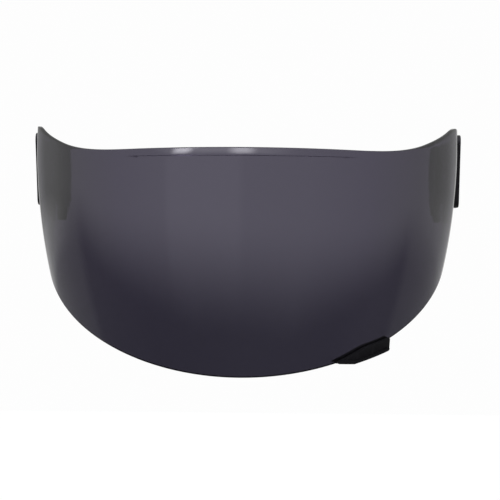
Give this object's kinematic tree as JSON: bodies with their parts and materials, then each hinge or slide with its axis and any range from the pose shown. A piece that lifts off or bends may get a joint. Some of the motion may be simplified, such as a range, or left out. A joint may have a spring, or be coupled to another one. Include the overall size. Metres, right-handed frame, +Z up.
{
  "type": "motorcycle helmet visor",
  "caption": "Smoked wrap-round helmet shield with a black lift tab, black pivot covers and ratchet pivots that swing it up on quick-release base plates.",
  "frame": {"origin": "midpoint between the ears on the pivot axis", "axes": "+X towards the wearer's left ear along the pivot axis, -Y to the front, +Z up; stored shut"},
  "size_m": [0.2508, 0.1754, 0.1387],
  "materials": {
    "shield": "smoked transparent polycarbonate, hard coated",
    "black_plastic": "fine grained black",
    "acetal": "smooth dark grey acetal",
    "steel": "bright spring steel and screws"
  },
  "bodies": {
    "mounting": {"left_base_plate": "black_plastic", "left_friction_washer": "acetal", "left_detent_spring": "steel", "left_release_spring": "steel", "right_base_plate": "black_plastic", "right_friction_washer": "acetal", "right_detent_spring": "steel", "right_release_spring": "steel"},
    "visor": {"shield": "shield", "lift_tab": "black_plastic", "lift_tab_screws": "steel", "left_pivot_cover": "black_plastic", "left_ratchet_plate": "acetal", "left_pivot_screws": "steel", "right_pivot_cover": "black_plastic", "right_ratchet_plate": "acetal", "right_pivot_screws": "steel"},
    "left_release": {"left_release_slider": "black_plastic"},
    "right_release": {"right_release_slider": "black_plastic"}
  },
  "joints": [
    {"name": "visor_pivot", "type": "hinge", "parent": "mounting", "child": "visor", "pos_m": [0, 0, 0], "axis": [-1, 0, 0], "range_deg": [0, 60], "deforming": ["left_detent_spring", "right_detent_spring"]},
    {"name": "left_release_slide", "type": "slide", "parent": "mounting", "child": "left_release", "axis": [0, 0.5319, -0.8468], "range_m": [0, 0.003], "stiffness_N_per_m": 2100, "springref_m": -0.001, "deforming": ["left_release_spring"]},
    {"name": "right_release_slide", "type": "slide", "parent": "mounting", "child": "right_release", "axis": [0, 0.5319, -0.8468], "range_m": [0, 0.003], "stiffness_N_per_m": 2100, "springref_m": -0.001, "deforming": ["right_release_spring"]}
  ]
}
